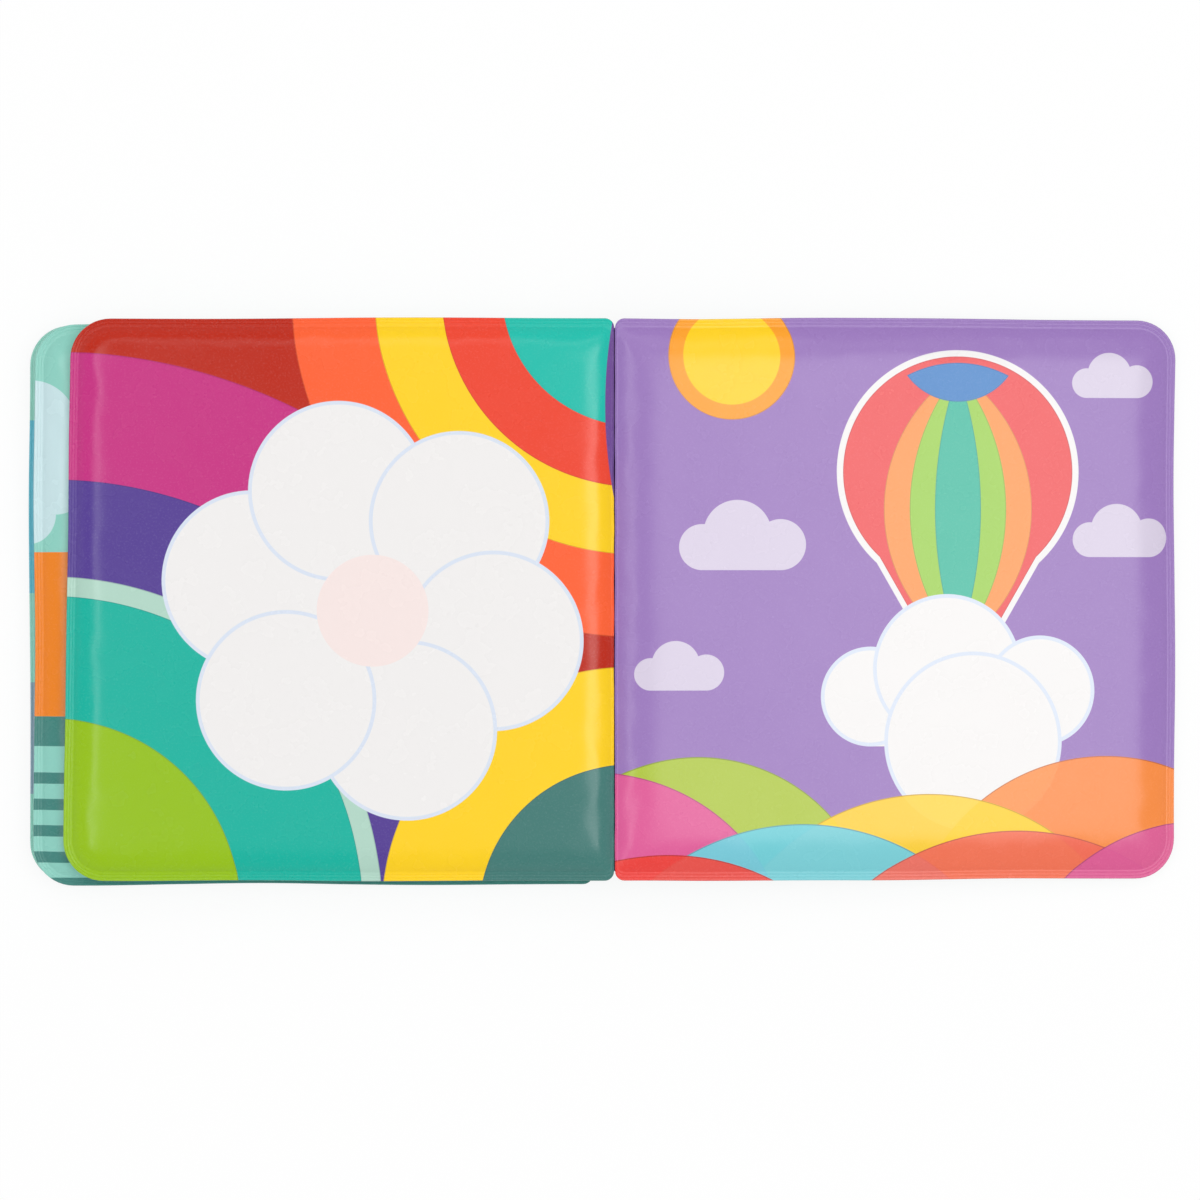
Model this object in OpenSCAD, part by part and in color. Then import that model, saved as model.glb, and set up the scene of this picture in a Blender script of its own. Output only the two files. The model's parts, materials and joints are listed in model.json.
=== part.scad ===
// Padded bath book, lying open at its last spread.
// Three padded leaves lie on the left and the back cover lies on the right.
// Sizes are millimetres. Z is up, and the book stands on Z = 0.

/* [Leaves] */
// Height of every leaf, along the spine
leaf_h = 150; // [110:1:200]
// Width of the two covers, from the spine fold to the outer edge
cover_w = 151.5; // [115:0.5:200]
// Width of the lower inner leaf
lower_leaf_w = 149.5; // [115:0.5:198]
// Width of the upper inner leaf
upper_leaf_w = 146; // [112:0.5:195]
// Thickness of one padded leaf
leaf_t = 6; // [4.5:0.5:8]
// Radius of the outer corners
corner_r = 10.7; // [8:0.1:16]
// Radius of the corners beside the spine
spine_corner_r = 2.5; // [1:0.1:4]

/* [Weld and pad edge] */
// Width of the flat welded rim round each pad
weld_w = 2.4; // [1.5:0.1:3.5]
// Thickness of the two films where they are welded together
film_t = 0.7; // [0.4:0.1:1]
// Width of the slope from the rim up to the flat of the pad
roll_w = 7.5; // [6:0.1:9]

/* [Spine] */
// Distance of the lower fold to the left of the upper fold
stagger = 6; // [2:0.5:10]
// Distance that the lower two leaves lie towards the reader
lower_shift = 1.3; // [0:0.1:3]
// Space between leaves that move against each other
leaf_gap = 0.5; // [0.4:0.1:1]
// Space from the upper fold line to each pad beside it
fold_gap = 0.25; // [0.2:0.05:0.6]
// Width of the flat rim beside the fold
fold_lip = 0.6; // [0.5:0.1:1]
// Thickness of the film strip that stands at the lower fold
strip_t = 0.4; // [0.3:0.1:0.8]

/* [Print] */
// Thickness of the printed colour on the film
ink_t = 0.1; // [0.06:0.01:0.15]
// Radius of the largest rainbow disc on the left page
rainbow_r = 148; // [130:1:155]
// Radius of the largest disc in the upper corner beside the spine
corner_disc_r = 92; // [80:1:100]
// Radius of the disc at the foot of the page beside the spine
foot_disc_r = 66; // [58:1:74]
// Radius of one petal of the white flower
petal_r = 24; // [21:0.5:27]
// Radius of the round part of the balloon
balloon_r = 31; // [26:0.5:34]
// Width of the white line round the balloon
balloon_line = 1.7; // [1:0.1:2.5]
// Radius of the sun
sun_r = 17; // [12:0.5:20]

/* [Hidden] */
$fn = 96;

half_h = leaf_h / 2;
edge_w = weld_w + roll_w;
roll_rise = (leaf_t - film_t) / 2;
roll_r = (roll_w * roll_w + roll_rise * roll_rise) / (2 * roll_rise);
pages_z = leaf_t + leaf_gap;
stack_top = pages_z + 2 * leaf_t;
upper_fold_z = stack_top + leaf_gap / 2;

// The back cover leans from the upper fold down to the surface, on the lower arc of its outer edge.
arc_x = fold_gap + cover_w - edge_w;
arc_z = roll_r - leaf_t - leaf_gap / 2;
droop = atan2(arc_z, arc_x) + asin((upper_fold_z - roll_r) / norm([arc_x, arc_z]));

// Middle of the whole book, seen from above.
left_x = -stagger - cover_w;
rim_drop = (leaf_gap + leaf_t - film_t) / 2;
right_x = (fold_gap + cover_w) * cos(droop) - rim_drop * sin(droop);
mid_x = (left_x + right_x) / 2;
mid_y = -lower_shift / 2;

// Reach of the printed shapes past the page, and the height of the blocks that cut them out.
far = 2 * cover_w;
cut_h = 4 * leaf_t;

// The print grows with the page: a place is a share of the page's width and of its height, from
// the middle of the spine edge, and a third number is a radius or a size as a share of the height.
function on_page(width, place) = [place[0] * width, place[1] * leaf_h];

// Lower leaf's edge: pale discs, an orange field and a teal field with teal lines under it.
edge_discs = [[1.007, 0.313, 0.087], [0.96, 0.22, 0.06], [1.013, 0.16, 0.053]];
edge_orange_rows = [-0.2, 0.093];
edge_teal_rows = [-0.253, -0.2];
edge_line_count = 5;
edge_line_top = -0.3;
edge_line_pitch = 0.047;
edge_line_h = 0.02;

// The lower leaf is printed on its slope, and on to the rim of the leaf above where that is further.
slope_print = edge_w - sqrt(2 * roll_r * ink_t);
bare_edge = lower_leaf_w + stagger - upper_leaf_w - fold_gap;
edge_print_w = max(slope_print, bare_edge + weld_w);

// Left page: the discs' rims keep their places, and their rings are shares of the largest radius.
rainbow_rings = [1, 0.77, 0.595, 0.56, 0.34];
corner_rings = [1, 0.76, 0.565, 0.39];
foot_rings = [1, 0.606];
rainbow_rim = on_page(-upper_leaf_w, [1.027, 0.44]);
corner_rim = on_page(upper_leaf_w, [0.041, -0.067]);
foot_rim = on_page(upper_leaf_w, [0.027, -0.12]);
rainbow_at = rainbow_rim - [0, rainbow_r];
corner_disc_at = corner_rim + [0, corner_disc_r];
foot_disc_at = foot_rim - [0, foot_disc_r];
flower_at = on_page(-upper_leaf_w, [0.44, -0.02]);
petal_count = 6;
petal_reach = 1.38 * petal_r;
petal_turn = 14;
flower_middle_r = 0.62 * petal_r;

// Right page: the balloon's parts are shares of its own radius.
lilac_clouds = [[0.224, 0.093, 0.227], [0.898, 0.107, 0.173], [0.884, 0.387, 0.147],
    [0.112, -0.133, 0.16]];
sun_at = on_page(cover_w, [0.205, 0.433]);
sun_rim_w = 0.235 * sun_r;
balloon_at = on_page(cover_w, [0.607, 0.227]);
balloon_taper = [0.806, -0.516] * balloon_r;
balloon_mouth = [0.194, -1.58] * balloon_r;
balloon_panels = [0.645, 0.42, 0.2];
panel_top = 0.87 * balloon_r;
panel_foot = -1.51 * balloon_r;
cap_rise = 1.16 * balloon_r;
cap_r = 0.55 * balloon_r;
white_cloud = [0.607, -0.173, 0.493];
cloud_base = [0.634, -0.253, 0.16];
hills = [[0.871, -0.64, 0.36], [0.145, -0.6, 0.32], [0.554, -0.747, 0.4], [-0.04, -0.667, 0.36],
    [0.33, -0.813, 0.413], [0.713, -0.84, 0.427], [1.03, -0.72, 0.32], [0.092, -0.867, 0.413]];

// One end of a leaf's section: flat rim, rounded slope, flat pad.
module pad_end(lip, length) {
    intersection() {
        translate([0, -leaf_t / 2]) square([length, leaf_t]);
        union() {
            translate([0, -film_t / 2]) square([length, film_t]);
            translate([lip + roll_w, -leaf_t / 2]) square([length, leaf_t]);
            translate([lip + roll_w, 0]) intersection() {
                translate([0, leaf_t / 2 - roll_r]) circle(roll_r);
                translate([0, roll_r - leaf_t / 2]) circle(roll_r);
            }
        }
    }
}

// Whole section of a leaf, from one edge to the other.
module leaf_section(width, near_lip, far_lip) {
    intersection() {
        pad_end(near_lip, width);
        translate([width, 0]) mirror([1, 0]) pad_end(far_lip, width);
    }
}

// Outline of a leaf with its two small corners beside the spine.
module spine_outline(width) {
    translate([spine_corner_r, -half_h]) square([width, leaf_h]);
    translate([0, spine_corner_r - half_h]) square([width, leaf_h - 2 * spine_corner_r]);
    for (side = [-1, 1])
        translate([spine_corner_r, side * (half_h - spine_corner_r)]) circle(spine_corner_r);
}

// Rounded outer corner, swept from the same section as the straight edges.
module outer_corner() {
    rotate_extrude(angle = 90) intersection() {
        translate([0, -leaf_t / 2]) square([corner_r, leaf_t]);
        translate([corner_r, 0]) mirror([1, 0]) pad_end(weld_w, corner_r);
    }
}

// Padded leaf: spine edge on the Y axis, outer edge towards +X, middle of its thickness on Z = 0.
module leaf(width) {
    difference() {
        intersection() {
            rotate([90, 0, 90]) linear_extrude(width)
                translate([-half_h, 0]) leaf_section(leaf_h, weld_w, weld_w);
            translate([0, half_h, 0]) rotate([90, 0, 0]) linear_extrude(leaf_h)
                leaf_section(width, fold_lip, weld_w);
            linear_extrude(2 * leaf_t, center = true) spine_outline(width);
        }
        for (side = [0, 1])
            mirror([0, side, 0]) translate([width - corner_r, half_h - corner_r, -leaf_t])
                cube([2 * corner_r, 2 * corner_r, 2 * leaf_t]);
    }
    for (side = [0, 1])
        mirror([0, side, 0]) translate([width - corner_r, half_h - corner_r, 0]) outer_corner();
}

// Everything is placed from the middle of the spine, and then moved so that the book is centred.
module centred() {
    translate([-mid_x, -mid_y, 0]) children();
}

module on_front_cover() {
    centred() translate([-stagger, -lower_shift, leaf_t / 2]) children();
}

module on_lower_leaf() {
    centred() translate([-stagger, -lower_shift, pages_z + leaf_t / 2]) children();
}

module on_upper_leaf() {
    centred() translate([-fold_gap, 0, pages_z + 1.5 * leaf_t]) children();
}

module on_back_cover() {
    centred() translate([0, 0, upper_fold_z]) rotate([0, droop, 0])
        translate([fold_gap, 0, -(leaf_gap + leaf_t) / 2]) children();
}

// Standing film at the lower fold, between two heights.
module fold_strip(bottom, top) {
    centred() translate([-stagger, spine_corner_r - half_h - lower_shift, bottom])
        cube([strip_t, leaf_h - 2 * spine_corner_r, top - bottom]);
}

module front_cover() {
    color([0.13, 0.6, 0.56]) {
        on_front_cover() mirror([1, 0, 0]) leaf(cover_w);
        fold_strip(leaf_t / 2 - film_t / 2, leaf_t);
    }
}

// The two inner leaves and the film strip that joins them are one welded piece.
module pages() {
    color([0.62, 0.86, 0.8]) {
        on_upper_leaf() mirror([1, 0, 0]) leaf(upper_leaf_w);
        on_lower_leaf() mirror([1, 0, 0]) leaf(lower_leaf_w);
        fold_strip(pages_z, pages_z + leaf_t + film_t);
    }
}

module back_cover() {
    color([0.13, 0.6, 0.56]) on_back_cover() leaf(cover_w);
}

// Thin layer of print on the upper side of a leaf, kept where the outline given as a child is.
module print_layer(width, flip) {
    mirror([flip, 0, 0]) intersection() {
        difference() {
            translate([0, 0, ink_t]) leaf(width);
            leaf(width);
        }
        mirror([flip, 0, 0]) linear_extrude(cut_h, center = true) children();
    }
}

// Field right across the page, between two shares of its height.
module band(low, high) {
    translate([-far, low * leaf_h]) square([2 * far, (high - low) * leaf_h]);
}

module disc(place, radius) {
    translate(place) circle(radius);
}

module page_disc(width, shares) {
    disc(on_page(width, shares), shares[2] * leaf_h);
}

// Cloud of three round heads on a flat foot.
module cloud(width, shares) {
    size = shares[2] * leaf_h;
    translate(on_page(width, shares)) {
        disc([-0.32 * size, 0], 0.18 * size);
        disc([-0.04 * size, 0.1 * size], 0.27 * size);
        disc([0.3 * size, 0.02 * size], 0.2 * size);
        translate([-0.32 * size, -0.18 * size]) square([0.62 * size, 0.2 * size]);
    }
}

// Pointed oval between two places, from two arcs.
module pointed_oval(from, to, radius) {
    chord = to - from;
    half = norm(chord) / 2;
    away = sqrt(radius * radius - half * half);
    across = [-chord[1], chord[0]] / (2 * half);
    middle = (from + to) / 2;
    intersection() {
        disc(middle + across * away, radius);
        disc(middle - across * away, radius);
    }
}

// Printed fields of the lower inner leaf, which shows as a narrow edge.
module edge_shape(i) {
    if (i == 0) band(-1, 1);
    if (i == 1)
        for (shares = edge_discs) page_disc(-lower_leaf_w, shares);
    if (i == 2) band(edge_orange_rows[0], edge_orange_rows[1]);
    if (i == 3) {
        band(edge_teal_rows[0], edge_teal_rows[1]);
        for (row = [0:edge_line_count - 1]) {
            top = edge_line_top - row * edge_line_pitch;
            band(top - edge_line_h, top);
        }
    }
}

module edge_field(i) {
    on_lower_leaf() print_layer(lower_leaf_w, 1) intersection() {
        difference() {
            edge_shape(i);
            for (above = [i + 1:1:3]) edge_shape(above);
        }
        translate([edge_print_w - lower_leaf_w - far, -leaf_h]) square([far, 2 * leaf_h]);
    }
}

module edge_mint() { color([0.52, 0.83, 0.75]) edge_field(0); }
module edge_pale() { color([0.86, 0.95, 0.98]) edge_field(1); }
module edge_orange() { color([0.95, 0.5, 0.16]) edge_field(2); }
module edge_teal() { color([0.18, 0.6, 0.57]) edge_field(3); }

// Round petals set in a ring.
module petals() {
    for (i = [0:petal_count - 1])
        translate(flower_at) rotate(petal_turn + i * 360 / petal_count)
            translate([petal_reach, 0]) circle(petal_r);
}

// Fields of the left page from the bottom of the print to the top.
module left_shape(i) {
    if (i == 0) band(-1, 1);
    if (i >= 1 && i <= 5) disc(rainbow_at, rainbow_r * rainbow_rings[i - 1]);
    if (i >= 6 && i <= 9) disc(corner_disc_at, corner_disc_r * corner_rings[i - 6]);
    if (i >= 10 && i <= 11) disc(foot_disc_at, foot_disc_r * foot_rings[i - 10]);
    if (i == 12) petals();
    if (i == 13) disc(flower_at, flower_middle_r);
}

module left_field(i) {
    on_upper_leaf() print_layer(upper_leaf_w, 1) difference() {
        left_shape(i);
        for (above = [i + 1:1:13]) left_shape(above);
    }
}

module left_rust() { color([0.66, 0.2, 0.1]) left_field(0); }
module left_magenta() { color([0.72, 0.19, 0.55]) left_field(1); }
module left_violet() { color([0.4, 0.25, 0.62]) left_field(2); }
module left_mint() { color([0.6, 0.87, 0.77]) left_field(3); }
module left_teal() { color([0.05, 0.66, 0.57]) left_field(4); }
module left_lime() { color([0.62, 0.8, 0.2]) left_field(5); }
module left_orange() { color([0.95, 0.42, 0.16]) left_field(6); }
module left_yellow() { color([0.98, 0.8, 0.08]) left_field(7); }
module left_coral() { color([0.91, 0.29, 0.18]) left_field(8); }
module left_sea() { color([0.05, 0.68, 0.6]) left_field(9); }
module left_gold() { color([0.98, 0.78, 0.05]) left_field(10); }
module left_slate() { color([0.35, 0.6, 0.58]) left_field(11); }
module left_white() { color([0.97, 0.97, 0.98]) left_field(12); }
module left_blush() { color([0.98, 0.94, 0.94]) left_field(13); }

// Balloon: round crown running down in a straight taper to its mouth, widened by a margin.
module balloon(margin) {
    translate(balloon_at) {
        circle(balloon_r + margin);
        polygon([
            [-balloon_taper[0] - margin, balloon_taper[1]], [balloon_taper[0] + margin, balloon_taper[1]],
            [balloon_mouth[0] + margin, balloon_mouth[1]], [-balloon_mouth[0] - margin, balloon_mouth[1]]]);
    }
}

// Panel of the balloon between two arcs that meet inside its top and its mouth.
module balloon_panel(half_width) {
    half = (panel_top - panel_foot) / 2;
    pointed_oval(balloon_at + [0, panel_top], balloon_at + [0, panel_foot],
        (half_width * half_width + half * half) / (2 * half_width));
}

// Fields of the right page from the bottom of the print to the top.
module right_shape(i) {
    if (i == 0) band(-1, 1);
    if (i == 1)
        for (shares = lilac_clouds) cloud(cover_w, shares);
    if (i == 2) disc(sun_at, sun_r);
    if (i == 3) disc(sun_at, sun_r - sun_rim_w);
    if (i == 4) balloon(balloon_line);
    if (i == 5) balloon(0);
    if (i >= 6 && i <= 8) balloon_panel(balloon_panels[i - 6] * balloon_r);
    if (i == 9) intersection() {
        disc(balloon_at, balloon_r - balloon_line);
        disc(balloon_at + [0, cap_rise], cap_r);
    }
    if (i == 10) {
        cloud(cover_w, white_cloud);
        page_disc(cover_w, cloud_base);
    }
    if (i >= 11 && i <= 18) page_disc(cover_w, hills[i - 11]);
}

module right_field(i) {
    on_back_cover() print_layer(cover_w, 0) difference() {
        right_shape(i);
        for (above = [i + 1:1:18]) right_shape(above);
    }
}

module right_violet() { color([0.48, 0.32, 0.66]) right_field(0); }
module right_lilac() { color([0.8, 0.72, 0.89]) right_field(1); }
module right_sun_rim() { color([0.97, 0.6, 0.12]) right_field(2); }
module right_sun() { color([0.99, 0.82, 0.1]) right_field(3); }
module right_outline() { color([0.97, 0.97, 0.98]) right_field(4); }
module right_red() { color([0.91, 0.29, 0.3]) right_field(5); }
module right_orange() { color([0.96, 0.55, 0.2]) right_field(6); }
module right_lime() { color([0.6, 0.78, 0.28]) right_field(7); }
module right_teal() { color([0.25, 0.69, 0.6]) right_field(8); }
module right_blue() { color([0.28, 0.5, 0.75]) right_field(9); }
module right_cloud() { color([0.96, 0.97, 0.99]) right_field(10); }
module hill_orange() { color([0.96, 0.53, 0.16]) right_field(11); }
module hill_lime() { color([0.72, 0.84, 0.22]) right_field(12); }
module hill_yellow() { color([0.99, 0.82, 0.1]) right_field(13); }
module hill_pink() { color([0.93, 0.3, 0.58]) right_field(14); }
module hill_cyan() { color([0.4, 0.78, 0.86]) right_field(15); }
module hill_coral() { color([0.94, 0.42, 0.3]) right_field(16); }
module hill_magenta() { color([0.83, 0.3, 0.62]) right_field(17); }
module hill_red() { color([0.9, 0.25, 0.25]) right_field(18); }

front_cover();
pages();
back_cover();
edge_mint();
edge_pale();
edge_orange();
edge_teal();
left_rust();
left_magenta();
left_violet();
left_mint();
left_teal();
left_lime();
left_orange();
left_yellow();
left_coral();
left_sea();
left_gold();
left_slate();
left_white();
left_blush();
right_violet();
right_lilac();
right_sun_rim();
right_sun();
right_outline();
right_red();
right_orange();
right_lime();
right_teal();
right_blue();
right_cloud();
hill_orange();
hill_lime();
hill_yellow();
hill_pink();
hill_cyan();
hill_coral();
hill_magenta();
hill_red();
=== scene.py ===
import json
import math

import bpy
from mathutils import Matrix, Vector, noise


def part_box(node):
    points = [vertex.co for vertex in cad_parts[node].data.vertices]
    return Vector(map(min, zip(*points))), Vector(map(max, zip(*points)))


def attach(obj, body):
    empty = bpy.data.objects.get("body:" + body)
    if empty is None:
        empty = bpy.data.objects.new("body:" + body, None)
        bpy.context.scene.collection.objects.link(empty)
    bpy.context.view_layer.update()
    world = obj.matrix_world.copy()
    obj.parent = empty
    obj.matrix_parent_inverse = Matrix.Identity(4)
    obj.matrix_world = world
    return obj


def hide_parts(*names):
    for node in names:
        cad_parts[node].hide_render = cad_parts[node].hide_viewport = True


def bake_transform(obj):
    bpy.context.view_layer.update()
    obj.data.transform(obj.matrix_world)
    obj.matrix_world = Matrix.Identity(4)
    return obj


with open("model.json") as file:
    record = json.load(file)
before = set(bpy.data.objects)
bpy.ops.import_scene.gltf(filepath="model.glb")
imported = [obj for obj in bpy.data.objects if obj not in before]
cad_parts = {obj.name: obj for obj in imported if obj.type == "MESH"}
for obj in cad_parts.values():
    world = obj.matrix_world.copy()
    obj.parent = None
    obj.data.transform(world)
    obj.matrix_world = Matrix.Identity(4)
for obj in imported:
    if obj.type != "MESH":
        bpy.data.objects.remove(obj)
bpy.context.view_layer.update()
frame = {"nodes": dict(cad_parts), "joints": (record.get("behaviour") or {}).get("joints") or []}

bpy.ops.object.select_all(action="DESELECT")

# Sizes of the leaves, in millimetres, as in the CAD
MM = 0.001
LEAF_H = 150.0
COVER_W = 151.5
LOWER_W = 149.5
UPPER_W = 146.0
HALF_T = 3.0
HALF_FILM = 0.35
OUTER_R = 10.7
SPINE_R = 2.5
WELD_W = 2.4
FOLD_LIP = 0.6
FOLD_GAP = 0.25
STAGGER = 6.0
LOWER_SHIFT = 1.3
LEAF_GAP = 0.5
HALF_H = LEAF_H / 2

# Line of the upper fold, and the lean of the back cover
joints = {joint["name"]: joint for joint in frame["joints"]}
upper_fold = Vector(joints["pages_fold"]["pos_m"])
SPINE_X = upper_fold.x / MM
PAGE_Y = (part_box("pages")[1].y / MM) - HALF_H
UPPER_FOLD_Z = upper_fold.z / MM
LEAN = math.radians(5.0466)

FRONT_Z = HALF_T
LOWER_Z = 2 * HALF_T + LEAF_GAP + HALF_T
UPPER_Z = LOWER_Z + 2 * HALF_T

# Camera: straight above, framed as the photograph is
CAMERA_HEIGHT = 1.3
FRAME_WIDTH = 0.320
FRAME_PLANE_Z = 0.0153
SENSOR = 36.0
FRAME_CENTRE = (SPINE_X - 4.0, PAGE_Y - 0.15)

camera_data = bpy.data.cameras.new("camera")
camera_data.type = "PERSP"
camera_data.sensor_width = SENSOR
camera_data.lens = SENSOR * (CAMERA_HEIGHT - FRAME_PLANE_Z) / FRAME_WIDTH
camera = bpy.data.objects.new("camera", camera_data)
bpy.context.scene.collection.objects.link(camera)
camera.location = (FRAME_CENTRE[0] * MM, FRAME_CENTRE[1] * MM, CAMERA_HEIGHT)
bpy.context.scene.camera = camera


# Shader helpers
def add(tree, kind, **values):
    node = tree.nodes.new(kind)
    for name, value in values.items():
        setattr(node, name, value)
    return node


def put(tree, socket, value):
    if isinstance(value, bpy.types.NodeSocket):
        tree.links.new(value, socket)
    elif value is not None:
        socket.default_value = value


def maths(tree, operation, a, b=None, c=None, clamp=False):
    node = add(tree, "ShaderNodeMath", operation=operation, use_clamp=clamp)
    for socket, value in zip(node.inputs, (a, b, c)):
        put(tree, socket, value)
    return node.outputs[0]


def new_group(name, inputs, outputs):
    group = bpy.data.node_groups.new(name, "ShaderNodeTree")
    for label, kind, value in inputs:
        socket = group.interface.new_socket(label, in_out="INPUT", socket_type=kind)
        socket.default_value = value
    for label, kind in outputs:
        group.interface.new_socket(label, in_out="OUTPUT", socket_type=kind)
    start = group.nodes.new("NodeGroupInput")
    end = group.nodes.new("NodeGroupOutput")
    return group, start.outputs, end.inputs


def place_group(tree, group, **values):
    node = add(tree, "ShaderNodeGroup", node_tree=group)
    for name, value in values.items():
        put(tree, node.inputs[name.replace("_", " ")], value)
    return node.outputs


FLOAT, VECTOR, COLOUR = "NodeSocketFloat", "NodeSocketVector", "NodeSocketColor"
INK_EDGE = 0.12
LINE_TINT = (0.22, 0.18, 0.25, 1)

# Film: scales of its noise, its roughness, the light specks of its grain, and its bump
GRAIN_SCALE = 1900
BROAD_SCALE = 130
ROUGHNESS_SPREAD, ROUGHNESS_LEAST = 0.06, 0.24
SPECK_GAIN, SPECK_SHIFT = 0.15, -0.078
BUMP_STRENGTH = 0.12
BUMP_FILM = 0.00004


def make_disc_group():
    """How deep a place lies inside a disc, and less than nothing outside it."""
    group, given, out = new_group(
        "disc_depth",
        [("Place", VECTOR, (0, 0, 0)), ("Centre", VECTOR, (0, 0, 0)), ("Radius", FLOAT, 1.0)],
        [("Depth", FLOAT)])
    apart = add(group, "ShaderNodeVectorMath", operation="DISTANCE")
    put(group, apart.inputs[0], given["Place"])
    put(group, apart.inputs[1], given["Centre"])
    put(group, out["Depth"], maths(group, "SUBTRACT", given["Radius"], apart.outputs["Value"]))
    return group


def make_ink_group():
    """An ink laid over the colour below, with a darker line just inside its edge."""
    group, given, out = new_group(
        "lay_ink",
        [("Below", COLOUR, (1, 1, 1, 1)), ("Ink", COLOUR, (1, 1, 1, 1)), ("Depth", FLOAT, 0.0),
         ("Line", FLOAT, 0.0), ("Line strength", FLOAT, 0.35), ("Cover", FLOAT, 1.0)],
        [("Colour", COLOUR)])
    inside = maths(group, "MULTIPLY_ADD", given["Depth"], 1 / INK_EDGE, 0.5, clamp=True)
    shown = maths(group, "MULTIPLY", inside, given["Cover"])
    laid = add(group, "ShaderNodeMix", data_type="RGBA")
    put(group, laid.inputs["Factor"], shown)
    put(group, laid.inputs[6], given["Below"])
    put(group, laid.inputs[7], given["Ink"])
    deeper = maths(group, "SUBTRACT", given["Depth"], given["Line"])
    core = maths(group, "MULTIPLY_ADD", deeper, 1 / INK_EDGE, 0.5, clamp=True)
    ring = maths(group, "SUBTRACT", inside, core)
    ring = maths(group, "MULTIPLY", ring, given["Line strength"])
    dark = add(group, "ShaderNodeMix", data_type="RGBA", blend_type="MULTIPLY")
    put(group, dark.inputs["Factor"], ring)
    put(group, dark.inputs[6], laid.outputs[2])
    dark.inputs[7].default_value = LINE_TINT
    put(group, out["Colour"], dark.outputs[2])
    return group


def add_noise(tree, place, scale, detail):
    node = add(tree, "ShaderNodeTexNoise", noise_dimensions="3D")
    put(tree, node.inputs["Vector"], place)
    node.inputs["Scale"].default_value = scale
    node.inputs["Detail"].default_value = detail
    return node.outputs[0]


def make_film_group():
    """Grain of soft printed film: a height for the bump, a roughness, and light specks on darker inks."""
    group, given, out = new_group(
        "film_grain", [("Colour", COLOUR, (1, 1, 1, 1))],
        [("Colour", COLOUR), ("Height", FLOAT), ("Roughness", FLOAT)])
    place = add(group, "ShaderNodeTexCoord").outputs["Object"]
    fine = add_noise(group, place, GRAIN_SCALE, 2)
    broad = add_noise(group, place, BROAD_SCALE, 3)
    put(group, out["Height"], fine)
    put(group, out["Roughness"], maths(group, "MULTIPLY_ADD", broad, ROUGHNESS_SPREAD, ROUGHNESS_LEAST))
    specks = maths(group, "MULTIPLY_ADD", fine, SPECK_GAIN, SPECK_SHIFT, clamp=True)
    pale = add(group, "ShaderNodeRGBToBW")
    put(group, pale.inputs[0], given["Colour"])
    darkness = maths(group, "SUBTRACT", 1.0, pale.outputs[0], clamp=True)
    tinted = add(group, "ShaderNodeVectorMath", operation="ADD")
    put(group, tinted.inputs[0], given["Colour"])
    put(group, tinted.inputs[1], maths(group, "MULTIPLY", specks, darkness))
    put(group, out["Colour"], tinted.outputs[0])
    return group


disc_group = make_disc_group()
ink_group = make_ink_group()
film_group = make_film_group()


def srgb(red, green, blue):
    """Colour written as it shows on a screen, from 0 to 255, as the shader wants it."""
    def linear(value):
        share = value / 255
        return share / 12.92 if share <= 0.04045 else ((share + 0.055) / 1.055) ** 2.4
    return (linear(red), linear(green), linear(blue), 1.0)


def ground_colour(tree, colour):
    node = add(tree, "ShaderNodeRGB")
    node.outputs[0].default_value = colour
    return node.outputs[0]


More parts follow.
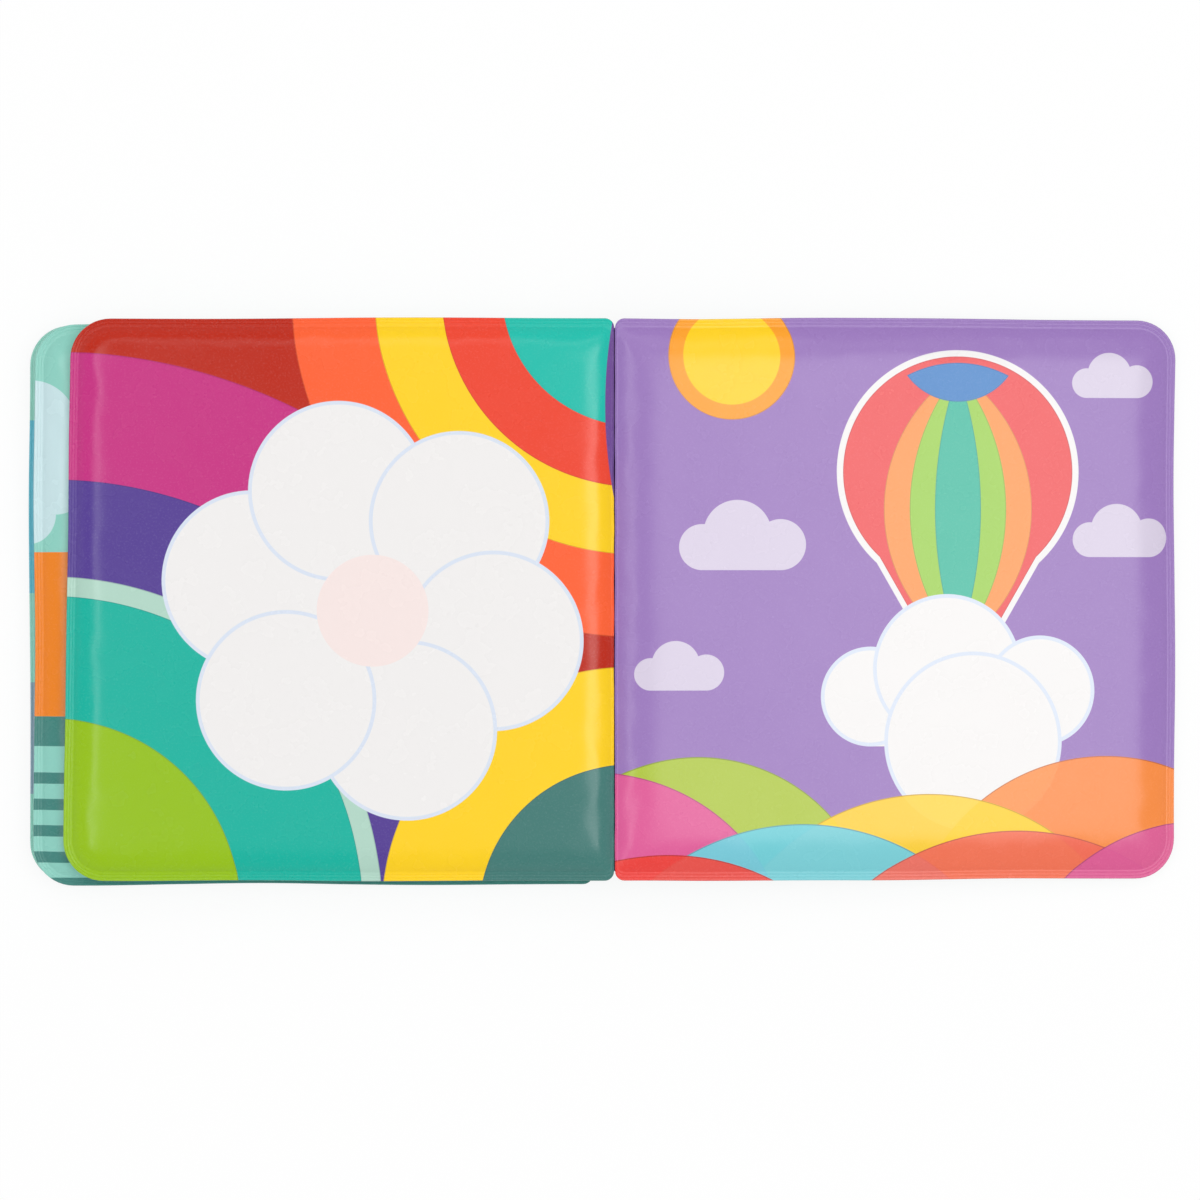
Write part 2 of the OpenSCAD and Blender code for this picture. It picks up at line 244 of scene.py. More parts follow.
class Print:
    """One page's print: shapes in millimetres, laid over each other on a place socket.

    The width is negative on a page that runs to the left of its spine.
    """

    def __init__(self, tree, place, width, ground):
        self.tree, self.place, self.width = tree, place, width
        self.colour = ground_colour(tree, ground)
        self.x = self.y = None

    def split(self):
        if self.x is None:
            parts = add(self.tree, "ShaderNodeSeparateXYZ")
            put(self.tree, parts.inputs[0], self.place)
            self.x, self.y = parts.outputs["X"], parts.outputs["Y"]

    def spot(self, shares):
        """Place on the page from shares of its width and its height."""
        return Vector((shares[0] * self.width, shares[1] * LEAF_H))

    def disc(self, centre, radius):
        values = {"Place": self.place, "Centre": (*centre, 0), "Radius": radius}
        return place_group(self.tree, disc_group, **values)["Depth"]

    def page_disc(self, shares):
        return self.disc(self.spot(shares), shares[2] * LEAF_H)

    def union(self, *depths):
        joined = depths[0]
        for depth in depths[1:]:
            joined = maths(self.tree, "MAXIMUM", joined, depth)
        return joined

    def common(self, *depths):
        joined = depths[0]
        for depth in depths[1:]:
            joined = maths(self.tree, "MINIMUM", joined, depth)
        return joined

    def upright_oval(self, centre, half_width, half_height):
        """Pointed oval that stands upright, from two arcs."""
        radius = (half_width ** 2 + half_height ** 2) / (2 * half_width)
        off = Vector((radius - half_width, 0))
        return self.common(self.disc(centre + off, radius), self.disc(centre - off, radius))

    def rows(self, low, high):
        """Field right across the page between two heights."""
        self.split()
        middle, half = (low + high) / 2, (high - low) / 2
        off = maths(self.tree, "ABSOLUTE", maths(self.tree, "SUBTRACT", self.y, middle))
        return maths(self.tree, "SUBTRACT", half, off)

    def band(self, low, high):
        """Field right across the page between two shares of its height."""
        return self.rows(low * LEAF_H, high * LEAF_H)

    def cloud(self, shares):
        """Three round heads on a flat foot: the depth of the whole, and of each head."""
        centre, size = self.spot(shares), shares[2] * LEAF_H
        heads = [self.disc(centre + Vector((x, y)) * size, radius * size) for x, y, radius in CLOUD_HEADS]
        self.split()
        middle_x, half_w, low, high = [value * size for value in CLOUD_FOOT]
        off = maths(self.tree, "ABSOLUTE", maths(self.tree, "SUBTRACT", self.x, centre.x + middle_x))
        foot = self.common(
            maths(self.tree, "SUBTRACT", half_w, off), self.rows(centre.y + low, centre.y + high))
        return self.union(*heads, foot), heads

    def lay(self, depth, ink, line=0.0, strength=0.35, cover=1.0):
        values = {"Below": self.colour, "Ink": ink, "Depth": depth, "Line": line, "Cover": cover}
        out = place_group(self.tree, ink_group, Line_strength=strength, **values)
        self.colour = out["Colour"]

    def lay_rings(self, centre, radius, rings):
        """Discs about one centre, from the largest in, each a share of the radius and an ink."""
        for share, ink in rings:
            self.lay(self.disc(centre, radius * share), ink, line=LINE_W)

    def lay_puff(self, depth):
        """A white form with a cool rim."""
        self.lay(depth, ICE)
        self.lay(maths(self.tree, "SUBTRACT", depth, PUFF_RIM_W), PAPER_WHITE)


LINE_W = 0.2
PUFF_RIM_W = 1.0
# Shares of a cloud's size: X, Y and radius of its heads, then middle, half width, foot and top of its base
CLOUD_HEADS = ((-0.32, 0, 0.18), (-0.04, 0.1, 0.27), (0.3, 0.02, 0.2))
CLOUD_FOOT = (-0.01, 0.31, -0.18, 0.02)


# Inks, as they show in soft light
RUST = srgb(190, 34, 0)
MAGENTA = srgb(200, 44, 130)
VIOLET = srgb(86, 62, 150)
MINT = srgb(176, 212, 196)
TEAL = srgb(0, 180, 160)
LIME = srgb(150, 194, 0)
ORANGE = srgb(252, 96, 44)
YELLOW = srgb(252, 208, 10)
CORAL = srgb(238, 66, 40)
SEA = srgb(16, 190, 172)
SLATE = srgb(66, 124, 118)
PAPER_WHITE = srgb(236, 234, 233)
BLUSH = srgb(242, 226, 223)
ICE = srgb(214, 223, 238)
GROUND_VIOLET = srgb(154, 120, 188)
# The right page's ground violet, darkened as painted shade in the valley at the fold
PAINTED_SHADE_VIOLET = srgb(112, 74, 150)
LILAC = srgb(213, 203, 223)
SUN_RIM = srgb(250, 160, 30)
BALLOON_RED = srgb(234, 84, 86)
BALLOON_ORANGE = srgb(244, 154, 82)
BALLOON_LIME = srgb(160, 206, 84)
BALLOON_TEAL = srgb(66, 186, 162)
CAP_BLUE = srgb(72, 134, 198)
HILL_PINK = srgb(226, 78, 156)
HILL_CYAN = srgb(106, 204, 218)
HILL_LIME = srgb(177, 202, 36)
HILL_CORAL = srgb(240, 104, 84)
HILL_MAGENTA = srgb(218, 90, 150)
HILL_RED = srgb(238, 62, 44)
HILL_ORANGE = srgb(250, 140, 40)
COVER_TEAL = srgb(40, 156, 146)
RIM_BLUE = srgb(104, 192, 214)
RIM_SLATE = srgb(150, 172, 190)
PAGE_MINT = srgb(158, 218, 204)
EDGE_MINT = srgb(142, 208, 194)
EDGE_PALE = srgb(200, 226, 230)
EDGE_ORANGE = srgb(240, 132, 24)
EDGE_TEAL = srgb(66, 134, 126)


def film_material(name, draw, lean=0.0, origin=(0.0, 0.0, 0.0)):
    """Satin printed film.

    draw(tree, place, z) gives the colour socket, with place on the page and z above it in millimetres.
    """
    material = bpy.data.materials.new(name)
    material.use_nodes = True
    tree = material.node_tree
    tree.nodes.clear()
    where = add(tree, "ShaderNodeTexCoord").outputs["Object"]
    moved = add(tree, "ShaderNodeVectorMath", operation="SUBTRACT")
    put(tree, moved.inputs[0], where)
    moved.inputs[1].default_value = origin
    turned = add(tree, "ShaderNodeMapping", vector_type="POINT")
    put(tree, turned.inputs["Vector"], moved.outputs[0])
    turned.inputs["Rotation"].default_value = (0, -lean, 0)
    turned.inputs["Scale"].default_value = (1 / MM, 1 / MM, 1 / MM)
    flat = add(tree, "ShaderNodeVectorMath", operation="MULTIPLY")
    put(tree, flat.inputs[0], turned.outputs[0])
    flat.inputs[1].default_value = (1, 1, 0)
    height = add(tree, "ShaderNodeSeparateXYZ")
    put(tree, height.inputs[0], turned.outputs[0])
    colour = draw(tree, flat.outputs[0], height.outputs["Z"])
    film = place_group(tree, film_group, Colour=colour)
    bump = add(tree, "ShaderNodeBump")
    bump.inputs["Strength"].default_value = BUMP_STRENGTH
    bump.inputs["Distance"].default_value = BUMP_FILM
    put(tree, bump.inputs["Height"], film["Height"])
    shader = add(tree, "ShaderNodeBsdfPrincipled")
    put(tree, shader.inputs["Base Color"], film["Colour"])
    put(tree, shader.inputs["Roughness"], film["Roughness"])
    put(tree, shader.inputs["Normal"], bump.outputs["Normal"])
    shader.inputs["Specular IOR Level"].default_value = 0.5
    end = add(tree, "ShaderNodeOutputMaterial")
    put(tree, end.inputs["Surface"], shader.outputs[0])
    return material


SIDE_EDGE = 0.125


def above_middle(tree, z, upper, lower):
    """Colour of the upper side where z is above the middle of the leaf, and of the lower side under it."""
    share = maths(tree, "MULTIPLY_ADD", z, 1 / SIDE_EDGE, 0.5, clamp=True)
    mixed = add(tree, "ShaderNodeMix", data_type="RGBA")
    put(tree, mixed.inputs["Factor"], share)
    put(tree, mixed.inputs[6], lower)
    put(tree, mixed.inputs[7], upper)
    return mixed.outputs[2]


# Left page: rainbow discs, each placed by the top or foot of its rim, and a white flower
RAINBOW_R = 148
RAINBOW_RIM = (1.027, 0.44)
RAINBOW_RINGS = ((1, MAGENTA), (0.77, VIOLET), (0.595, MINT), (0.56, TEAL), (0.34, LIME))
CORNER_DISC_R = 92
CORNER_RIM = (-0.041, -0.067)
CORNER_RINGS = ((1, ORANGE), (0.76, YELLOW), (0.565, CORAL), (0.39, SEA))
FOOT_DISC_R = 66
FOOT_RIM = (-0.027, -0.12)
FOOT_RINGS = ((1, YELLOW), (0.606, SLATE))
FLOWER = (0.44, -0.02)
PETAL_R = 24
PETAL_COUNT = 6
PETAL_REACH = 1.38 * PETAL_R
PETAL_TURN = 14
FLOWER_MIDDLE_R = 0.62 * PETAL_R
# Print of the right page that runs on round the fold, in a darker violet that is painted shade in the valley
BLEED = (-0.018, 0.345)
BLEED_R = 130
BLEED_REACH = 5


def left_print(tree, place, z):
    page = Print(tree, place, -UPPER_W, RUST)
    page.lay_rings(page.spot(RAINBOW_RIM) - Vector((0, RAINBOW_R)), RAINBOW_R, RAINBOW_RINGS)
    page.lay_rings(page.spot(CORNER_RIM) + Vector((0, CORNER_DISC_R)), CORNER_DISC_R, CORNER_RINGS)
    page.lay_rings(page.spot(FOOT_RIM) - Vector((0, FOOT_DISC_R)), FOOT_DISC_R, FOOT_RINGS)
    flower = page.spot(FLOWER)
    for index in range(PETAL_COUNT):
        angle = math.radians(PETAL_TURN + index * 360 / PETAL_COUNT)
        reach = Vector((-math.cos(angle), math.sin(angle))) * PETAL_REACH
        page.lay_puff(page.disc(flower + reach, PETAL_R))
    page.lay(page.disc(flower, FLOWER_MIDDLE_R), BLUSH)
    bleed = page.spot(BLEED) + Vector((BLEED_R - BLEED_REACH, 0))
    # The run-on print is real; its darker violet is painted shade by the fold
    page.lay(page.disc(bleed, BLEED_R), PAINTED_SHADE_VIOLET)
    return above_middle(tree, z, page.colour, PAGE_MINT)


# Right page: striped balloon, clouds, sun and round hills
LILAC_CLOUDS = (
    (0.224, 0.093, 0.227), (0.898, 0.107, 0.173), (0.884, 0.387, 0.147), (0.112, -0.133, 0.16))
SUN = (0.205, 0.433)
SUN_R = 17
SUN_RIM_W = 0.235 * SUN_R
SUN_LINE_W = 0.25
BALLOON = (0.607, 0.227)
BALLOON_R = 31
BALLOON_LINE = 1.7
BALLOON_TAPER = (0.806 * BALLOON_R, -0.516 * BALLOON_R)
BALLOON_MOUTH = (0.194 * BALLOON_R, -1.58 * BALLOON_R)
PANEL_TOP, PANEL_FOOT = 0.87 * BALLOON_R, -1.51 * BALLOON_R
PANELS = ((0.645, BALLOON_ORANGE), (0.42, BALLOON_LIME), (0.2, BALLOON_TEAL))
CAP_RISE, CAP_R = 1.16 * BALLOON_R, 0.55 * BALLOON_R
WHITE_CLOUD = (0.607, -0.173, 0.493)
CLOUD_BASE = (0.634, -0.253, 0.16)
HILLS = (
    ((0.871, -0.64, 0.36), HILL_ORANGE), ((0.145, -0.6, 0.32), HILL_LIME),
    ((0.554, -0.747, 0.4), YELLOW), ((-0.04, -0.667, 0.36), HILL_PINK),
    ((0.33, -0.813, 0.413), HILL_CYAN), ((0.713, -0.84, 0.427), HILL_CORAL),
    ((1.03, -0.72, 0.32), HILL_MAGENTA), ((0.092, -0.867, 0.413), HILL_RED))
HILL_LINE_W, HILL_LINE_STRENGTH, HILL_COVER = 0.28, 0.5, 0.94


def balloon_depth(page, middle, margin):
    """Round crown and a straight taper down to the mouth, widened by a margin."""
    tree = page.tree
    page.split()
    crown = page.disc(middle, BALLOON_R + margin)
    (wide, top_y), (narrow, foot_y) = BALLOON_TAPER, BALLOON_MOUTH
    slope = (wide - narrow) / (top_y - foot_y)
    off = maths(tree, "ABSOLUTE", maths(tree, "SUBTRACT", page.x, middle.x))
    above_foot = maths(tree, "SUBTRACT", page.y, middle.y + foot_y)
    reach = maths(tree, "MULTIPLY_ADD", above_foot, slope, narrow + margin)
    side = maths(tree, "SUBTRACT", reach, off)
    return page.union(crown, page.common(side, page.rows(middle.y + foot_y, middle.y + top_y)))


def right_print(tree, place, z):
    page = Print(tree, place, COVER_W, GROUND_VIOLET)
    for shares in LILAC_CLOUDS:
        page.lay(page.cloud(shares)[0], LILAC)
    sun = page.spot(SUN)
    page.lay(page.disc(sun, SUN_R), SUN_RIM, line=SUN_LINE_W)
    page.lay(page.disc(sun, SUN_R - SUN_RIM_W), YELLOW)
    middle = page.spot(BALLOON)
    page.lay(balloon_depth(page, middle, BALLOON_LINE), PAPER_WHITE)
    page.lay(balloon_depth(page, middle, 0), BALLOON_RED, line=LINE_W)
    panel_middle = middle + Vector((0, (PANEL_TOP + PANEL_FOOT) / 2))
    for share, ink in PANELS:
        panel = page.upright_oval(panel_middle, share * BALLOON_R, (PANEL_TOP - PANEL_FOOT) / 2)
        page.lay(panel, ink, line=LINE_W)
    cap = page.common(
        page.disc(middle, BALLOON_R - BALLOON_LINE),
        page.disc(middle + Vector((0, CAP_RISE)), CAP_R))
    page.lay(cap, CAP_BLUE, line=LINE_W)
    cloud, heads = page.cloud(WHITE_CLOUD)
    heads.append(page.page_disc(CLOUD_BASE))
    page.lay(page.union(cloud, heads[-1]), PAPER_WHITE)
    for head in heads:
        page.lay_puff(head)
    for shares, ink in HILLS:
        page.lay(page.page_disc(shares), ink, HILL_LINE_W, HILL_LINE_STRENGTH, HILL_COVER)
    return above_middle(tree, z, page.colour, COVER_TEAL)


# Lower leaf, which shows as a narrow edge: pale discs, an orange field, and teal with lines under it
EDGE_DISCS = ((1.007, 0.313, 0.087), (0.96, 0.22, 0.06), (1.013, 0.16, 0.053))
EDGE_LINE_COUNT = 5
EDGE_LINE_TOP = -0.3
EDGE_LINE_PITCH = 0.047
EDGE_LINE_H = 0.02
EDGE_ORANGE_FIELD = (-0.2, 0.093)
EDGE_TEAL_FIELD = (-0.253, -0.2)
# Front cover, whose rim shows
RIM_BLUE_FIELD = (0.02, 0.33)
RIM_SLATE_FIELD = (-0.34, -0.14)


def lower_print(tree, place, z):
    page = Print(tree, place, -LOWER_W, EDGE_MINT)
    page.lay(page.union(*[page.page_disc(shares) for shares in EDGE_DISCS]), EDGE_PALE)
    page.lay(page.band(*EDGE_ORANGE_FIELD), EDGE_ORANGE)
    page.lay(page.band(*EDGE_TEAL_FIELD), EDGE_TEAL)
    for row in range(EDGE_LINE_COUNT):
        top = EDGE_LINE_TOP - row * EDGE_LINE_PITCH
        page.lay(page.band(top - EDGE_LINE_H, top), EDGE_TEAL)
    return above_middle(tree, z, page.colour, PAGE_MINT)


def front_print(tree, place, z):
    page = Print(tree, place, -COVER_W, PAGE_MINT)
    page.lay(page.band(*RIM_BLUE_FIELD), RIM_BLUE)
    page.lay(page.band(*RIM_SLATE_FIELD), RIM_SLATE)
    return above_middle(tree, z, page.colour, COVER_TEAL)


def moved_to(x, y, z):
    return Matrix.Translation((x * MM, y * MM, z * MM))


# Where each leaf lies: its fold edge at X = 0 and the middle of its thickness at Z = 0
front_place = moved_to(SPINE_X - STAGGER, PAGE_Y - LOWER_SHIFT, FRONT_Z)
lower_place = moved_to(SPINE_X - STAGGER, PAGE_Y - LOWER_SHIFT, LOWER_Z)
upper_place = moved_to(SPINE_X - FOLD_GAP, PAGE_Y, UPPER_Z)
back_place = (
    moved_to(SPINE_X, PAGE_Y, UPPER_FOLD_Z) @ Matrix.Rotation(LEAN, 4, "Y")
    @ moved_to(FOLD_GAP, 0, -(LEAF_GAP / 2 + HALF_T)))

left_film = film_material("left_page_film", left_print, origin=upper_place.to_translation())
right_film = film_material("right_page_film", right_print, LEAN, back_place.to_translation())
lower_film = film_material("lower_leaf_film", lower_print, origin=lower_place.to_translation())
front_film = film_material("front_cover_film", front_print, origin=front_place.to_translation())


# Padded leaves
WELD_LINES = (0.75, 1.55)
WELD_DEPTH = 0.15
WELD_SOFT = 0.13
PAD_RISE = 9.3
SOFT_PAD_RISE = 13.0
SIDE_STEPS = 72
CORNER_STEPS = 12
FOLD_CORNER_STEPS = 6
# Corners further in: a radius, and how much wider each millimetre makes it
OUTER_IN_R, OUTER_WIDER = 4.0, 0.12
SPINE_IN_R, SPINE_WIDER, SPINE_WIDER_TO = 0.9, 0.5, 11
LEAST_SIDE = 0.05
# Unevenness of the foam: the noise's steps to a millimetre, and its height
BROAD_SWELL = (0.035, 0.16)
FINE_SWELL = (0.09, 0.05)
PUCKERS = (0.16, 0.30)
PUCKER_INSET, PUCKER_REACH = 6.0, 3.2
SWELL_DROP, SWELL_START, SWELL_MARGIN = 0.06, 4.0, 0.12
# Straying of the outline, and its ripple at the fold: likewise, and how far in it fades
STRAY_PITCH, STRAY, STRAY_REACH = 0.022, 0.55, 10
FOLD_STRAY, FOLD_STRAY_REACH = 0.1, 25
RIPPLE_PITCH, RIPPLE, RIPPLE_REACH = 0.13, 0.13, 3
INSETS = (
    0.12, 0.3, 0.5, 0.62, 0.75, 0.88, 1.05, 1.25, 1.42, 1.55, 1.68, 1.9, 2.15, 2.4, 2.7, 3.1, 3.6,
    4.2, 4.9, 5.7, 6.6, 7.6, 8.7, 9.9, 11.2, 12.7, 14.4, 16.5, 19, 22, 25.5, 29.5, 34, 39, 44.5,
    50.5, 57, 64, 70, 73)


def fold_inset(inset):
    """The rim beside the fold is narrower than the welded rim on the other sides."""
    if inset < WELD_W:
        return inset * FOLD_LIP / WELD_W
    return inset - WELD_W + FOLD_LIP


def rise(inset, pad_rise):
    """Height of the film above the middle of the leaf, at a distance in from the edge."""
    if inset <= WELD_W:
        dent = sum(math.exp(-((inset - line) / WELD_SOFT) ** 2) for line in WELD_LINES)
        return HALF_FILM - WELD_DEPTH * dent
    share = min(1.0, (inset - WELD_W) / pad_rise)
    return HALF_FILM + (HALF_T - HALF_FILM) * (1 - (1 - share) ** 3)


def ring(width, inset):
    """Points of the leaf's outline moved in by a distance, from the lower outer corner all the way round."""
    near, far = fold_inset(inset), width - inset
    low, high = inset - HALF_H, HALF_H - inset
    most = min(high - low, far - near) / 2 - LEAST_SIDE
    outer = min(max(OUTER_R - inset, OUTER_IN_R + OUTER_WIDER * inset), most)
    inner = min(max(SPINE_R - inset, SPINE_IN_R + SPINE_WIDER * min(inset, SPINE_WIDER_TO)), most)
    corners = (
        ((far - outer, low + outer), outer, -90, CORNER_STEPS),
        ((far - outer, high - outer), outer, 0, CORNER_STEPS),
        ((near + inner, high - inner), inner, 90, FOLD_CORNER_STEPS),
        ((near + inner, low + inner), inner, 180, FOLD_CORNER_STEPS))
    points = []
    for (x, y), radius, start, steps in corners:
        arc = []
        for step in range(steps + 1):
            angle = math.radians(start + 90 * step / steps)
            arc.append((x + radius * math.cos(angle), y + radius * math.sin(angle)))
        if points:
            points.extend(along(points[-1], arc[0]))
        points.extend(arc)
    points.extend(along(points[-1], points[0]))
    return points


def along(start, end):
    """Points between two places, without the places themselves."""
    return [(start[0] + (end[0] - start[0]) * step / SIDE_STEPS,
             start[1] + (end[1] - start[1]) * step / SIDE_STEPS) for step in range(1, SIDE_STEPS)]


def uneven(x, y, seed, kind):
    pitch, height = kind
    return noise.noise(Vector((x * pitch, y * pitch, seed))) * height


def swell(x, y, inset, seed):
    """Slight unevenness of the foam, and puckers where the film is drawn down to the weld."""
    broad = uneven(x, y, seed, BROAD_SWELL) + uneven(x, y, seed + 7, FINE_SWELL)
    near_edge = math.exp(-((inset - PUCKER_INSET) / PUCKER_REACH) ** 2)
    pucker = uneven(x, y, seed + 3, PUCKERS) * near_edge
    settle = min(1.0, max(0.0, (inset - WELD_W) / SWELL_START))
    return (broad - SWELL_DROP) * settle + pucker


def drift(x, y, inset, seed):
    """How far the soft outline strays from the straight, less beside the fold."""
    hold = math.exp(-inset / STRAY_REACH) * min(1.0, FOLD_STRAY + x / FOLD_STRAY_REACH)
    stray = noise.noise_vector(Vector((x * STRAY_PITCH, y * STRAY_PITCH, seed))) * STRAY * hold
    fade = math.exp(-(x / RIPPLE_REACH) ** 2)
    ripple = noise.noise(Vector((seed, y * RIPPLE_PITCH, 2))) * RIPPLE * fade
    return x + stray.x + ripple, y + stray.y


def padded_leaf(name, width, seed, slant=0.0, pad_rise=PAD_RISE):
    """A leaf of film welded round foam. Its fold lies on X = 0 and its middle on Z = 0."""
    insets = (0.0, *INSETS)
    outline = [[drift(x, y, inset, seed) for x, y in ring(width, inset)] for inset in insets]
    count = len(outline[0])
    points, faces = [], []

    def level(index, side):
        """Index of the first point of a ring on the upper or the lower side."""
        if index == 0:
            return 0
        return count + ((index - 1) * 2 + (0 if side > 0 else 1)) * count

    for x, y in outline[0]:
        points.append((x, y, 0.0))
    for index in range(1, len(insets)):
        for side in (1, -1):
            for x, y in outline[index]:
                inset = insets[index]
                height = rise(inset, pad_rise)
                if inset > WELD_W:
                    height += swell(x, y, inset, seed + side)
                points.append((x, y, side * min(height, HALF_T + SWELL_MARGIN)))
    for side in (1, -1):
        for index in range(len(insets) - 1):
            a, b = level(index, side), level(index + 1, side)
            for step in range(count):
                after = (step + 1) % count
                faces.append((a + step, a + after, b + after, b + step)[::side])
        last = level(len(insets) - 1, side)
        middle = len(points)
        centre = [sum(points[last + step][axis] for step in range(count)) / count for axis in range(3)]
        points.append(tuple(centre))
        for step in range(count):
            faces.append((last + step, last + (step + 1) % count, middle)[::side])
    mesh = bpy.data.meshes.new(name)
    shifted = [(x * (1 - slant * y / HALF_H), y, z) for x, y, z in points]
    mesh.from_pydata([(x * MM, y * MM, z * MM) for x, y, z in shifted], [], faces)
    leaf = bpy.data.objects.new(name, mesh)
    bpy.context.scene.collection.objects.link(leaf)
    return leaf


def finish_leaf(leaf, matrix, material):
    leaf.data.transform(matrix)
    if matrix.determinant() < 0:
        leaf.data.flip_normals()
    leaf.data.polygons.foreach_set("use_smooth", [True] * len(leaf.data.polygons))
    leaf.data.materials.append(material)
    leaf.data.update()


MIRROR_X = Matrix.Diagonal((-1, 1, 1, 1))

front_leaf = padded_leaf("front_cover_leaf", COVER_W, 11)
finish_leaf(front_leaf, front_place @ MIRROR_X, front_film)
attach(front_leaf, "front_cover")
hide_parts("front_cover")

lower_leaf = padded_leaf("lower_inner_leaf", LOWER_W, 23)
finish_leaf(lower_leaf, lower_place @ MIRROR_X, lower_film)
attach(lower_leaf, "pages")
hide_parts(*[name for name in frame["nodes"] if name.startswith("edge_")])

UPPER_SLANT = 0.0072
upper_leaf = padded_leaf("upper_inner_leaf", UPPER_W, 37, slant=UPPER_SLANT)
finish_leaf(upper_leaf, upper_place @ MIRROR_X, left_film)
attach(upper_leaf, "pages")
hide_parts("pages", *[name for name in frame["nodes"] if name.startswith("left_")])

back_leaf = padded_leaf("back_cover_leaf", COVER_W, 53, pad_rise=SOFT_PAD_RISE)
finish_leaf(back_leaf, back_place, right_film)
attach(back_leaf, "back_cover")
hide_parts("back_cover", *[
    name for name in frame["nodes"] if name.startswith(("right_", "hill_"))])


# Film at the folds
FILM_SHEET = 0.28
FOLD_ROWS = 60
FOLD_COLUMNS = 14


def plain_film(name, colour):
    def draw(tree, place, z):
        return ground_colour(tree, colour)
    return film_material(name, draw)


def film_strip(name, section, low, high, material):
    """A strip of film along Y whose cross-section is section(share), as X and Z in millimetres."""
    bpy.ops.mesh.primitive_grid_add(x_subdivisions=FOLD_COLUMNS, y_subdivisions=FOLD_ROWS, size=1)
    strip = bpy.context.object
    strip.name = strip.data.name = name
    for point in strip.data.vertices:
        x, z = section(point.co.x + 0.5)
        y = low + (high - low) * (point.co.y + 0.5)
        point.co = (x * MM, y * MM, z * MM)
    thick = strip.modifiers.new("thickness", "SOLIDIFY")
    thick.thickness = FILM_SHEET * MM
    thick.offset = 0
    bpy.ops.object.modifier_apply(modifier=thick.name)
    strip.data.polygons.foreach_set("use_smooth", [True] * len(strip.data.polygons))
    strip.data.materials.append(material)
    strip.select_set(False)
    return strip


VALLEY_HALF = 0.6
VALLEY_DEPTH = 1.5
VALLEY_CURVE = 1.5


def valley(share):
    """Slack film folded down between the two pads at the open spread."""
    off = 2 * share - 1
    return SPINE_X + VALLEY_HALF * off, UPPER_Z - VALLEY_DEPTH * (1 - abs(off) ** VALLEY_CURVE)


LOWER_EDGE_X = SPINE_X - STAGGER
STRIP_START = 0.2
LOOP_BULGE = 1.1
WELD_RUN, WELD_RISE = 0.7, 3.6


def lower_loop(share):
    """Film that runs round the closed fold of the lower two leaves."""
    return (LOWER_EDGE_X + STRIP_START + LOOP_BULGE * math.sin(math.pi * share),
            FRONT_Z + (LOWER_Z - FRONT_Z) * share)


def weld_strip(share):
    """Film that joins the two inner leaves at the spine."""
    return (LOWER_EDGE_X + STRIP_START + WELD_RUN * share, LOWER_Z + WELD_RISE * share)


fold_low, fold_high = PAGE_Y - HALF_H + SPINE_R, PAGE_Y + HALF_H - SPINE_R
# The film in the valley is coloured a darkened violet as painted shade
upper_film = film_strip(
    "upper_fold_film", valley, fold_low, fold_high, plain_film("upper_fold_film", PAINTED_SHADE_VIOLET))
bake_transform(upper_film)

teal_film = plain_film("cover_film", COVER_TEAL)
lower_fold_film = film_strip(
    "lower_fold_film", lower_loop, fold_low - LOWER_SHIFT, fold_high - LOWER_SHIFT, teal_film)
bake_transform(lower_fold_film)

spine_film = film_strip(
    "spine_weld_strip", weld_strip, fold_low - LOWER_SHIFT, fold_high - LOWER_SHIFT,
    plain_film("page_film", PAGE_MINT))
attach(spine_film, "pages")


# Floor, light and background
def lit_surface(name, colour, shown):
    """A pale surface that shows the camera and reflections nearly its own white, and keeps soft shadows."""
    material = bpy.data.materials.new(name)
    material.use_nodes = True
    tree = material.node_tree
    tree.nodes.clear()
    matt = add(tree, "ShaderNodeBsdfDiffuse")
    matt.inputs["Color"].default_value = colour
    glow = add(tree, "ShaderNodeEmission")
    glow.inputs["Color"].default_value = (1, 1, 1, 1)
    glow.inputs["Strength"].default_value = 1.0
    rays = add(tree, "ShaderNodeLightPath")
    seen = maths(tree, "ADD", rays.outputs["Is Camera Ray"], rays.outputs["Is Glossy Ray"])
    seen = maths(tree, "ADD", seen, rays.outputs["Is Transmission Ray"], clamp=True)
    seen = maths(tree, "MULTIPLY", seen, shown)
    both = add(tree, "ShaderNodeMixShader")
    put(tree, both.inputs[0], seen)
    put(tree, both.inputs[1], matt.outputs[0])
    put(tree, both.inputs[2], glow.outputs[0])
    end = add(tree, "ShaderNodeOutputMaterial")
    put(tree, end.inputs["Surface"], both.outputs[0])
    return material


FLOOR_SIZE = 12.0
FLOOR_Z = -0.00004
FLOOR_WHITE = (0.9, 0.9, 0.9, 1)
FLOOR_SHOWN = 0.86
bpy.ops.mesh.primitive_plane_add(size=FLOOR_SIZE, location=(0, 0, FLOOR_Z))
floor = bpy.context.object
floor.name = "floor"
floor.data.materials.append(lit_surface("floor_white", FLOOR_WHITE, FLOOR_SHOWN))
floor.select_set(False)


def for_rays(tree, share, values, others):
    """Strength for one kind of ray, and for all the others."""
    node = add(tree, "ShaderNodeMix", data_type="FLOAT")
    put(tree, node.inputs[0], share)
    put(tree, node.inputs[2], others)
    put(tree, node.inputs[3], values)
    return node.outputs[0]


# The studio looks white. Gloss shows it pale all round and darker overhead.
# The light that it gives comes mostly from above.
SEEN_STRENGTH = 1.0
WALL_STRENGTH = 0.6
ROOF_STRENGTH = 0.03
ROOF_FROM, ROOF_TO = 0.15, 0.9
FILL_SIDE, FILL_ABOVE = 0.12, 0.97

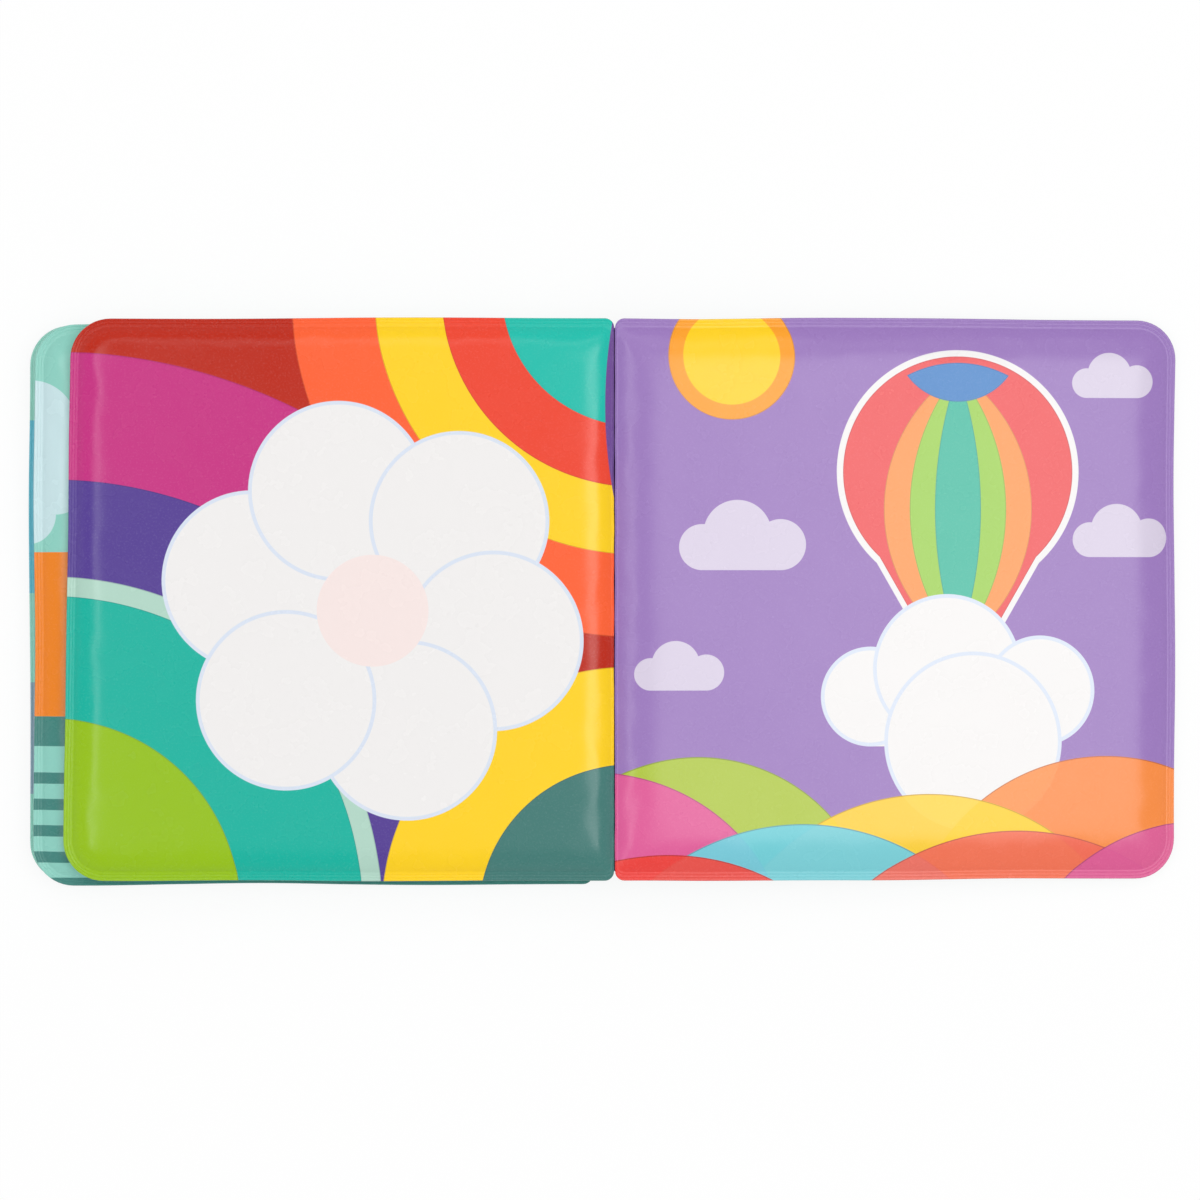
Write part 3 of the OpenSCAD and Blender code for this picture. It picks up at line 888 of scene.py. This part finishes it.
world = bpy.data.worlds.new("studio")
bpy.context.scene.world = world
world.use_nodes = True
sky = world.node_tree
sky.nodes.clear()
direction = add(sky, "ShaderNodeTexCoord").outputs["Generated"]
parts = add(sky, "ShaderNodeSeparateXYZ")
put(sky, parts.inputs[0], direction)
up = add(sky, "ShaderNodeMapRange", interpolation_type="SMOOTHSTEP")
put(sky, up.inputs["Value"], parts.outputs["Z"])
up.inputs["From Min"].default_value = ROOF_FROM
up.inputs["From Max"].default_value = ROOF_TO
up.inputs["To Min"].default_value = WALL_STRENGTH
up.inputs["To Max"].default_value = ROOF_STRENGTH
above = maths(sky, "MAXIMUM", parts.outputs["Z"], 0.0)
fill = maths(sky, "MULTIPLY_ADD", above, FILL_ABOVE, FILL_SIDE)
sky_rays = add(sky, "ShaderNodeLightPath").outputs
strength = for_rays(sky, sky_rays["Is Glossy Ray"], up.outputs[0], fill)
strength = for_rays(sky, sky_rays["Is Transmission Ray"], SEEN_STRENGTH, strength)
strength = for_rays(sky, sky_rays["Is Camera Ray"], SEEN_STRENGTH, strength)
background = add(sky, "ShaderNodeBackground")
background.inputs["Color"].default_value = (1, 1, 1, 1)
put(sky, background.inputs["Strength"], strength)
world_end = add(sky, "ShaderNodeOutputWorld")
put(sky, world_end.inputs["Surface"], background.outputs[0])


def softbox(name, place, length, depth, power):
    """Lamp turned to the middle of the book, with its length level and square to that direction."""
    data = bpy.data.lights.new(name, "AREA")
    data.shape = "RECTANGLE"
    data.size, data.size_y = length, depth
    data.energy = power
    lamp = bpy.data.objects.new(name, data)
    bpy.context.scene.collection.objects.link(lamp)
    lamp.location = place
    lamp.rotation_mode = "QUATERNION"
    lamp.rotation_quaternion = (-Vector(place)).to_track_quat("-Z", "Y")


softbox("right_softbox", (0.52, 0.05, 1.45), 0.8, 0.64, 4.8)
softbox("left_softbox", (-0.62, 0.05, 1.40), 1.0, 0.29, 2.4)
softbox("back_softbox", (0.0, 0.85, 1.25), 1.2, 0.4, 1.6)

bpy.context.scene.view_settings.view_transform = "Standard"
